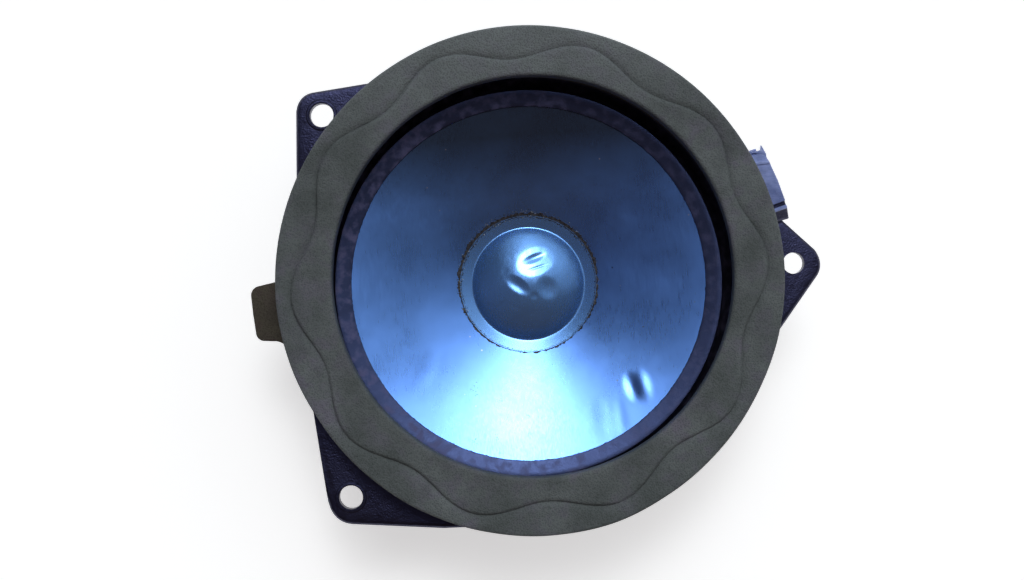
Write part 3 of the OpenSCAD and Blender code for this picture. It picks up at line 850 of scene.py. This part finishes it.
def make_spider():
    """Corrugated cloth disc."""
    steps = 96
    radii = [SPIDER_FLAT_R + (SPIDER_WAVE_END_R - SPIDER_FLAT_R) * i / steps for i in range(steps + 1)]
    t = SPIDER_T

    def middle(r):
        turn = (r - SPIDER_FLAT_R) / (SPIDER_WAVE_END_R - SPIDER_FLAT_R)
        return SPIDER_Z + t / 2 + SPIDER_WAVE * math.sin(turn * SPIDER_WAVES * TURN)

    top = [(SPIDER_IN_R, SPIDER_Z + t)] + [(r, middle(r) + t / 2) for r in radii]
    top += [(SPIDER_OUT_R - 0.3 * MM, SPIDER_Z + t), (SPIDER_OUT_R, SPIDER_Z + t / 2)]
    under = [(SPIDER_OUT_R, SPIDER_Z)] + [(r, middle(r) - t / 2) for r in reversed(radii)]
    section = top + under + [(SPIDER_IN_R, SPIDER_Z)]
    bm = bmesh.new()
    swept_ring(bm, lambda angle: section, 180)
    piece = finish_mesh(bm, "spider_cloth_disc", [CLOTH], sharp=60)

    def follow(point):
        return 1 - smoothstep(SPIDER_IN_R + 1 * MM, SPIDER_WAVE_END_R, math.hypot(point.x, point.y))

    stretch(piece, "spider", follow)


def hole_radius(angle):
    """Distance of the foam's inner edge from the foam's own centre, since its hole is cut off-centre."""
    shift = FOAM_HOLE_CENTRE - FOAM_CENTRE
    lean = math.atan2(shift.y, shift.x)
    d = math.hypot(shift.x, shift.y)
    return d * math.cos(angle - lean) + math.sqrt(FOAM_HOLE_R ** 2 - (d * math.sin(angle - lean)) ** 2)


# How far the foam ring's outer edge strays from its circle, in mm, at even steps from +X
FOAM_STRAY = [0.35, 0.2, 0.1, 0.15, 0.15, 0.25, 0.35, 0.35, 0.15, 0.0, 0.0, 0.0,
              0.0, -0.25, -0.55, -0.3, 0.0, 0.2, 0.5, 0.8, 0.3, 0.1, 0.0, 0.25]


def stray(angle):
    """The foam ring's stray at an angle, smooth between the steps."""
    turn = (angle / TURN % 1) * len(FOAM_STRAY)
    i = int(turn)
    t = smoothstep(0, 1, turn - i)
    return MM * ((1 - t) * FOAM_STRAY[i % len(FOAM_STRAY)] + t * FOAM_STRAY[(i + 1) % len(FOAM_STRAY)])


# Cross-section of the slit in the foam: (distance across it, depth), as shares of its width and depth
SLIT_PROFILE = [(-1.1, 0.03), (-0.6, 0.18), (-0.25, 0.6), (0, 0.95),
                (0.35, 0.7), (0.9, 0.4), (1.7, 0.15), (2.6, 0.02)]


def make_front_foam():
    """Foam ring with rounded edges and a wavy slit cut into its face."""
    low, high = FRONT_LOW.z, FRONT_HIGH.z
    shoulder, edge = 1.3 * MM, 0.9 * MM
    slit_w, slit_depth = 1.0 * MM, 1.0 * MM
    face_steps = 8

    def arc(r, z, radius, first, steps=5):
        return [(r + radius * math.cos(first - k * math.pi / 2 / steps),
                 z + radius * math.sin(first - k * math.pi / 2 / steps)) for k in range(steps + 1)]

    def section(angle):
        c, s = math.cos(angle), math.sin(angle)
        r_in = hole_radius(angle) + 0.15 * MM * noise.noise(Vector((c * 5, s * 5, 7.0)))
        r_out = FOAM_R + stray(angle)
        swing = SLIT_SWING * math.cos(SLIT_LOBES * angle)
        swing += 0.35 * MM * noise.noise(Vector((c * 3, s * 3, 6.0)))
        depth = slit_depth * (0.85 + 0.5 * noise.noise(Vector((c * 4, s * 4, 11.0))))
        slit = SLIT_R + swing
        points = [(r_in + 0.4 * MM, low)] + [(r_in, low + (high - shoulder - low) * k / 3) for k in (1, 2)]
        points += arc(r_in + shoulder, high - shoulder, shoulder, math.pi)
        near, far = r_in + shoulder, slit + SLIT_PROFILE[0][0] * slit_w
        points += [(near + (far - near) * k / face_steps, high) for k in range(1, face_steps)]
        points += [(slit + across * slit_w, high - share * depth) for across, share in SLIT_PROFILE]
        near, far = slit + SLIT_PROFILE[-1][0] * slit_w, r_out - edge
        points += [(near + (far - near) * k / 5, high) for k in range(1, 5)]
        points += arc(r_out - edge, high - edge, edge, math.pi / 2)
        points += [(r_out, low + (high - edge - low) * k / 3) for k in (2, 1)] + [(r_out - 0.4 * MM, low)]
        return points

    def shape(x, y, z):
        sunk = 0.12 * MM + ripple(x, y, 26 * MM, 0.12 * MM, 1.0) + ripple(x, y, 2.2 * MM, 0.05 * MM, 2.0)
        return -smoothstep(low, high, z) * sunk

    bm = bmesh.new()
    swept_ring(bm, section, 540, centre=(FOAM_CENTRE.x, FOAM_CENTRE.y), shape=shape)
    piece = finish_mesh(bm, "gasket_front_foam", [FOAM], sharp=70)
    place(piece, "chassis", "foam", "gasket_front")


def tab_outline():
    """Outline of the pull tab, counterclockwise from inside the ring, with a fillet at its lower root."""
    fillet_r = 5.0
    fillet = (-math.sqrt((BASE_R / MM + fillet_r) ** 2 - 17.4 ** 2), -17.4)
    outline = [(-74.0, 8.2)]
    outline += arc_points((-87.6, 2.9), 3.0, 98, 178, 8)
    outline += [(-90.4, -3.0)]
    outline += arc_points((-87.2, -9.4), 2.7, 182, 268, 8)
    outline += arc_points(fillet, fillet_r, 92, 12, 8)
    outline += [(-74.0, -15.6)]
    return [(x * MM, y * MM) for x, y in outline]


def make_base_foam():
    """The lower foam ring with its pull tab, cut from one sheet."""
    low, high = BASE_LOW.z, BASE_HIGH.z
    soft = 0.4 * MM
    section = [
        (BASE_HOLE_R, low + soft), (BASE_HOLE_R, high - soft), (BASE_HOLE_R + soft, high),
        (BASE_R - soft, high), (BASE_R, high - soft), (BASE_R, low + soft), (BASE_R - soft, low),
        (BASE_HOLE_R + soft, low),
    ]
    bm = bmesh.new()
    swept_ring(bm, lambda angle: section, 360)
    slab(bm, tab_outline(), low, low + TAB_T, 0.7 * MM)
    piece = finish_mesh(bm, "gasket_base_foam", [FOAM_BASE], sharp=60)
    place(piece, "chassis", "foam_base", "gasket_base")


EAR_REAR_Z = 45 * MM
EAR_START_R = 80.5 * MM
HOLE_EDGE_R = 4.3 * MM
# Where the ears' outlines swell: centre, reach and shift, in mm
EAR_SWELLS = [((92.5, 8.0), 5.5, (0.9, 0.9)), ((-69.5, 66.5), 7.0, (-0.15, 0.5)),
              ((-68.0, -72.5), 7.0, (-0.2, -0.35))]


def swell(verts):
    """Rounds out the ears' corners a little."""
    for centre, reach, shift in EAR_SWELLS:
        for vert in verts:
            away = math.hypot(vert.co.x - centre[0] * MM, vert.co.y - centre[1] * MM) / (reach * MM)
            if away < 1.6 and vert.co.z > EAR_REAR_Z:
                share = math.exp(-away * away * 1.6)
                vert.co.x += share * shift[0] * MM
                vert.co.y += share * shift[1] * MM


def make_basket():
    """The CAD basket with every edge rounded, wide chamfers around its ears and a lip at each paired hole."""
    bm = bmesh.new()
    bm.from_mesh(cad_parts["basket"].data)
    bmesh.ops.remove_doubles(bm, verts=bm.verts, dist=0.002 * MM)
    bmesh.ops.dissolve_limit(bm, angle_limit=math.radians(1), verts=bm.verts, edges=bm.edges)
    top = BASKET_HIGH.z
    paired = [Vector((-63.5, 60.3)) * MM, Vector((-63.5, -65.5)) * MM]
    holes = paired + [Vector((87.2, 0)) * MM]

    def on_ear(edge):
        flat = all(abs(v.co.z - top) < 0.01 * MM for v in edge.verts)
        outside = all(math.hypot(v.co.x, v.co.y) > EAR_START_R for v in edge.verts)
        return flat and outside and edge.is_manifold and edge.calc_face_angle(0) > math.radians(45)

    def by_hole(edge):
        middle = (edge.verts[0].co + edge.verts[1].co).to_2d() / 2
        return min((middle - hole).length for hole in holes) < HOLE_EDGE_R

    swell([v for v in bm.verts if min((v.co.to_2d() - hole).length for hole in holes) > HOLE_EDGE_R])
    outline = [e for e in bm.edges if on_ear(e) and not by_hole(e)]
    bmesh.ops.bevel(bm, geom=outline, offset=1.6 * MM, offset_type="OFFSET", segments=3, profile=0.55,
                    affect="EDGES", clamp_overlap=False)
    lip = [(4.0, -0.3), (4.05, 0.1), (4.3, 0.28), (4.8, 0.24), (5.2, 0.02), (5.3, -0.3)]
    for hole in paired:
        swept_ring(bm, lambda angle: [(r * MM, top + z * MM) for r, z in lip], 64, centre=hole)
    piece = finish_mesh(bm, "basket_frame", [BASKET], sharp=28)
    bevel = piece.modifiers.new("rounded_edges", "BEVEL")
    bevel.width = 0.35 * MM
    bevel.segments = 2
    bevel.limit_method = "ANGLE"
    bevel.angle_limit = math.radians(32)
    bevel.harden_normals = True
    place(piece, "chassis", "basket_plastic", "basket")


def socket_front_x(y):
    """How far out the socket's roof reaches: its edge runs around the speaker's axis."""
    return math.sqrt((89.0 * MM) ** 2 - (y + SOCKET_OFFSET) ** 2)


# Top of the socket's roof across it, in mm: (y at the front, y at the back, z)
SOCKET_ROOF = [
    (-13.0, -12.6, 43.7), (-12.9, -12.5, 44.1), (-12.0, -11.9, 44.9), (-10.0, -10.0, 46.3),
    (-9.6, -9.6, 46.9), (-9.3, -9.3, 47.2), (-8.6, -8.6, 47.2), (-8.3, -8.3, 46.9), (-8.15, -8.15, 46.0),
    (-7.15, -7.15, 46.0), (-7.0, -7.0, 47.1), (-6.6, -6.6, 47.4), (0, 0, 47.5), (6.0, 8.0, 47.4),
    (6.4, 8.4, 47.8), (7.0, 9.0, 47.8), (7.5, 9.5, 47.2), (10.2, 10.4, 46.6), (10.8, 10.8, 46.1),
    (10.9, 10.9, 44.6),
]


def box_shell(bm, low, high):
    """A block with softened edges, in the socket's own directions and mm."""
    soft = 0.35
    (x0, y0, z0), (x1, y1, z1) = low, high
    outline = filleted([(x0, y0), (x1, y0), (x1, y1), (x0, y1)], soft, steps=2)
    slab(bm, [(x * MM, y * MM) for x, y in outline], z0 * MM, z1 * MM, soft * MM)


def make_socket():
    """Housing of the connector: a shroud open at its mouth, with a grooved roof and a catch at one end."""
    bm = bmesh.new()
    back_x = 79.7 * MM
    roof_under = 44.3 * MM
    edge = 0.7 * MM
    side_low = 43.2 * MM
    rows = []
    # Each row runs across the roof: how far it is set back, how far it drops, and if it is at the front
    for inset, drop, front in [(0, 0, False), (edge, 0, True), (0.25 * edge, 0.35 * edge, True),
                               (0, edge, True)]:
        row = []
        for y_front, y_back, z in SOCKET_ROOF:
            y = (y_front if front else y_back) * MM
            x = socket_front_x(y) - inset if front else back_x
            row.append(bm.verts.new((x, y, max(z * MM - drop, roof_under - 0.7 * MM))))
        ends = row[-1].co.copy(), row[0].co.copy()
        rows.append(row + [bm.verts.new((end.x, end.y, side_low)) for end in ends])
    ring_faces(bm, rows, closed=False)
    bm.faces.new(rows[0])
    bm.faces.new(list(reversed(rows[-1])))
    face_x = SOCKET_FACE / MM
    box_shell(bm, (79.7, -12.6, 32.0), (face_x, -10.4, 43.9))
    box_shell(bm, (79.7, 10.4, 32.0), (face_x - 1.2, 12.6, 43.9))
    box_shell(bm, (74.0, -12.5, 32.05), (face_x, 12.5, 34.3))
    box_shell(bm, (71.0, -12.6, 32.0), (75.0, 12.6, 43.8))
    box_shell(bm, (73.0, -12.55, 32.0), (80.5, -10.4, 43.75))
    box_shell(bm, (73.0, 10.4, 32.0), (80.5, 12.55, 43.75))
    catch = [(84.0, 11.6), (85.9, 10.4), (88.0, 8.6), (88.3, 9.6), (87.75, 12.9), (86.9, 11.5)]
    slab(bm, [(x * MM, y * MM) for x, y in catch], 44.6 * MM, 46.7 * MM, 0.2 * MM)
    bmesh.ops.transform(bm, matrix=SOCKET_TURN, verts=bm.verts)
    turned_back = SOCKET_TURN.inverted()

    def in_shade(face):
        """1 on the rounded end and inside the groove, which get painted shade in black."""
        middle = turned_back @ face.calc_center_median()
        return int(middle.y < -9.7 * MM or (-8.3 * MM < middle.y < -7.0 * MM and middle.z > 44.3 * MM))

    piece = finish_mesh(bm, "connector_shroud", [SOCKET, SOCKET_PAINTED_SHADE], pick=in_shade, sharp=40)
    place(piece, "chassis", "socket_plastic", "connector_housing")


LEAD_ROUTES = {
    "tinsel_lead_positive": [
        (15.8, 6.4, 33), (20, 7.2, 33.6), (25, 7.5, 34.8), (32, 7.8, 36.2), (38, 8, 36.8), (44, 8.2, 37.3),
        (50, 8.4, 38), (56, 8.6, 38.8), (61, 8.7, 39.3), (65, 8.8, 39.5), (67.5, 8.8, 39.5)],
    "tinsel_lead_negative": [
        (16.9, -1.8, 33), (21, -1.8, 33.6), (26, -1.7, 34.9), (32, -1.6, 36.1), (38, -1.5, 36.7),
        (44, -1.4, 37.2), (50, -1.3, 38), (56, -1.3, 38.8), (61, -1.2, 39.3), (65, -1.2, 39.5),
        (67.5, -1.2, 39.5)],
}


def make_leads():
    """Braided tinsel leads from the pads on the former to the socket's tags."""
    turn = Matrix.Rotation(SOCKET_ANGLE, 3, "Z")
    radius, sides, plaits = 0.42 * MM, 16, 4
    for node, points in LEAD_ROUTES.items():
        route = smooth_route([turn @ (Vector(p) * MM) for p in points], steps=20)

        def braid(i, a):
            return 1 + 0.09 * math.sin(plaits * a + 0.9 * i) * math.sin(plaits * a - 0.9 * i)

        bm = bmesh.new()
        tube(bm, route, radius, sides, braid)
        piece = finish_mesh(bm, node.replace("tinsel_lead", "tinsel_braid"), [BRAID], sharp=60)

        def follow(point):
            return 1 - smoothstep(FORMER_R + 1.5 * MM, 58 * MM, math.hypot(point.x, point.y))

        stretch(piece, node, follow)


def make_solder():
    """A blob of solder on each tag, around the lead's end."""
    bm = bmesh.new()
    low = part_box("terminal_solder")[0]
    reach = 69.0 * MM
    for side in (-1, 1):
        centre = SOCKET_TURN @ Vector((reach, side * 5.0 * MM, low.z - 0.3 * MM))
        made = bmesh.ops.create_uvsphere(bm, u_segments=24, v_segments=14, radius=1)
        for vert in made["verts"]:
            wobble = 1 + 0.08 * noise.noise(vert.co * 2 + Vector((side, 0, 0)))
            vert.co = centre + Vector((vert.co.x * 1.7, vert.co.y * 1.4, vert.co.z * 1.25)) * wobble * MM
    piece = finish_mesh(bm, "solder_joints", [SOLDER], sharp=60)
    place(piece, "chassis", "solder", "terminal_solder")


# ---------------- assembly

make_cone()
make_dust_cap()
make_cap_glue()
make_neck_glue()
make_surround()
make_spider()
make_front_foam()
make_base_foam()
make_basket()
make_socket()
make_leads()
make_solder()
for node, material in {
    "yoke": STEEL, "magnet": FERRITE, "top_plate": STEEL, "motor_screws": SCREW, "gasket_adhesive": TAPE,
    "terminal_positive": TIN, "terminal_negative": TIN, "voice_coil_former": FOIL, "former_wrap": PAPER,
    "voice_coil_winding": WIRE, "lead_pads": TIN,
}.items():
    dress(node, material)


# ---------------- floor, light and camera

def make_floor():
    half_width = 3.0
    bm = bmesh.new()
    bmesh.ops.create_grid(bm, x_segments=2, y_segments=2, size=half_width)
    floor = finish_mesh(bm, "floor", [floor_look()])


def direction(azimuth, tilt):
    """Unit vector from its azimuth from +X and its tilt from straight up, in degrees."""
    a, t = math.radians(azimuth), math.radians(tilt)
    return Vector((math.sin(t) * math.cos(a), math.sin(t) * math.sin(a), math.cos(t)))


def soft_light(name, azimuth, tilt, distance, width, height, radiance, tint):
    """A rectangular studio light that faces the speaker."""
    data = bpy.data.lights.new(name, "AREA")
    data.shape = "RECTANGLE"
    data.size, data.size_y = width, height
    data.energy = radiance * math.pi * width * height
    data.color = tint
    light = bpy.data.objects.new(name, data)
    away = direction(azimuth, tilt)
    light.location = Vector((0, 0, FRONT_LOW.z)) + distance * away
    light.rotation_euler = away.to_track_quat("Z", "Y").to_euler()
    bpy.context.scene.collection.objects.link(light)


# Glows in the sky: azimuth, tilt and spread in degrees, power and colour
GLOWS = [
    (82, 26, 6.3, 14.0, (0.95, 0.98, 1)), (64, 45, 20, 0.85, (0.9, 0.98, 1)),
    (20, 48, 20, 0.17, (0.9, 0.97, 1)), (122, 15, 8, 0.3, (0.75, 0.85, 1)),
    (88, 57, 10, 0.8, (0.9, 0.98, 1)), (185, 47, 18, 0.09, (0.65, 0.7, 1)),
    (268, 38, 28, 0.09, (1, 0.54, 0.36)),
]


def make_world():
    """A studio sky: soft glows overhead, a faint light low down all around, and almost nothing between."""
    world = bpy.data.worlds.new("studio")
    world.use_nodes = True
    sky = Nodes(world.node_tree)
    toward = sky.node("ShaderNodeTexCoord").outputs["Generated"]
    base = sky.tree.nodes["Background"]
    sky.feed(base.inputs["Color"], (1, 0.62, 0.55))
    sky.feed(base.inputs["Strength"], 0.02)
    total = base.outputs["Background"]

    def add(strength, colour, power):
        """Adds a background whose strength comes from a node."""
        nonlocal total
        glow = sky.node("ShaderNodeBackground")
        sky.feed(glow.inputs["Color"], colour)
        sky.feed(glow.inputs["Strength"], sky.maths("MULTIPLY", strength, power))
        both = sky.node("ShaderNodeAddShader")
        sky.feed(both.inputs[0], total)
        sky.feed(both.inputs[1], glow.outputs["Background"])
        total = both.outputs["Shader"]

    for azimuth, tilt, spread, power, colour in GLOWS:
        sharpness = 1 / math.radians(spread) ** 2
        near = sky.dot(toward, direction(azimuth, tilt))
        away = sky.maths("MULTIPLY_ADD", near, sharpness, -sharpness)
        add(sky.maths("EXPONENT", away), colour, power)

    split = sky.node("ShaderNodeSeparateXYZ")
    sky.feed(split.inputs["Vector"], toward)
    add(sky.levels(split.outputs["Z"], 0.1, 0.4, 1, 0), (0.9, 0.95, 1), 0.12)
    sky.feed(sky.tree.nodes["World Output"].inputs["Surface"], total)
    bpy.context.scene.world = world


def make_camera():
    """Straight above the speaker, a little to the side of its axis, turned so that the ears lie as seen."""
    data = bpy.data.cameras.new("camera")
    data.sensor_width = 36
    distance, view_width = 0.55, 0.3277
    data.lens = data.sensor_width * distance / view_width
    camera = bpy.data.objects.new("camera", data)
    camera.location = (-5.6 * MM, -1.7 * MM, FRONT_HIGH.z + distance)
    camera.rotation_euler = (0, 0, math.radians(-4.4))
    bpy.context.scene.collection.objects.link(camera)
    bpy.context.scene.camera = camera


make_floor()
make_world()
make_camera()
soft_light("side", azimuth=15, tilt=55, distance=1.4, width=1.0, height=1.0, radiance=0.12,
           tint=(0.9, 0.95, 1))
bpy.context.scene.view_settings.view_transform = "Standard"
